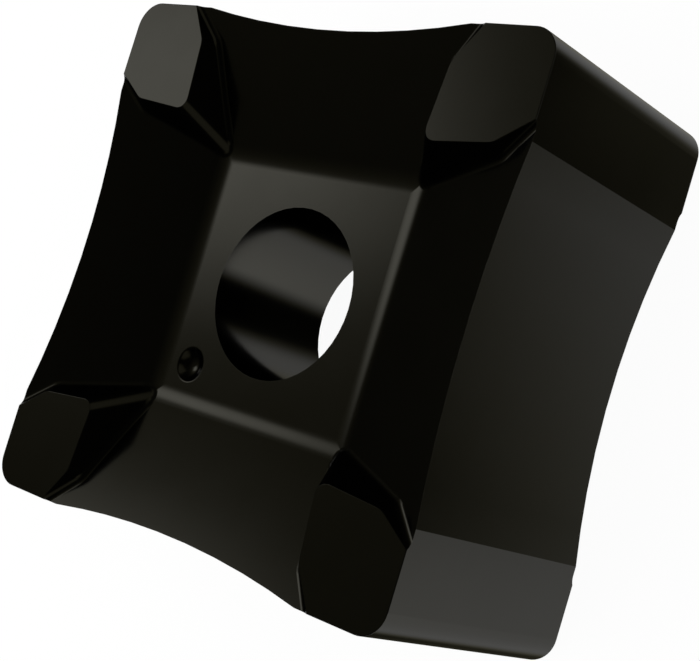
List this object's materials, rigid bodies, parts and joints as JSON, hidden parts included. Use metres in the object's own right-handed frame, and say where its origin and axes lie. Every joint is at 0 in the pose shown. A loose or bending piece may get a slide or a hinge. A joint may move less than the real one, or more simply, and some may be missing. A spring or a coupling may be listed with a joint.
{
  "type": "indexable milling insert",
  "caption": "Square double-sided negative milling insert in dark coated carbide, with dished faces, raised corner pads, hollow sides and a bore for a clamping screw",
  "frame": {"origin": "middle of the underside: on the bore's axis, level with the lower face's four pads", "axes": "+Z along the bore out of the upper face, +X and +Y square to the sides; the index dimple of the upper face lies towards -X and -Y"},
  "size_m": [0.0126, 0.0126, 0.0065],
  "materials": {
    "coated_carbide": "thin near-black coating with a slight olive cast, smooth and semi-gloss"
  },
  "bodies": {
    "root": {"insert_body": "coated_carbide"}
  },
  "joints": []
}
